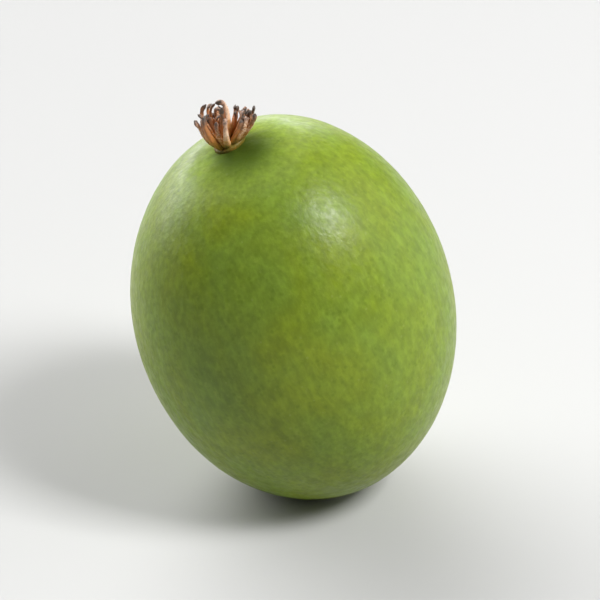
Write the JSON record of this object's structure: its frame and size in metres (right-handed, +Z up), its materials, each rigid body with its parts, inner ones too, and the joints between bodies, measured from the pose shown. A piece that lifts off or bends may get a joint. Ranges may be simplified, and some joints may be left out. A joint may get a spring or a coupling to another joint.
{
  "type": "kiwi berry",
  "caption": "Whole smooth-skinned green kiwi berry, leaning on a small flat spot, with a tuft of dried styles on top and a corky stem scar below.",
  "frame": {"origin": "middle of the flat spot that the berry rests on", "axes": "+Z up from the surface; the style end leans up and towards -X; the picture looks along +Y with +X to the right"},
  "size_m": [0.0234, 0.0229, 0.0313],
  "materials": {
    "skin": "smooth satin fruit skin",
    "dry_style": "dry and fibrous",
    "cork": "matte cork"
  },
  "bodies": {
    "root": {"berry": "skin", "style_tuft": "dry_style", "stem_scar": "cork"}
  },
  "joints": []
}
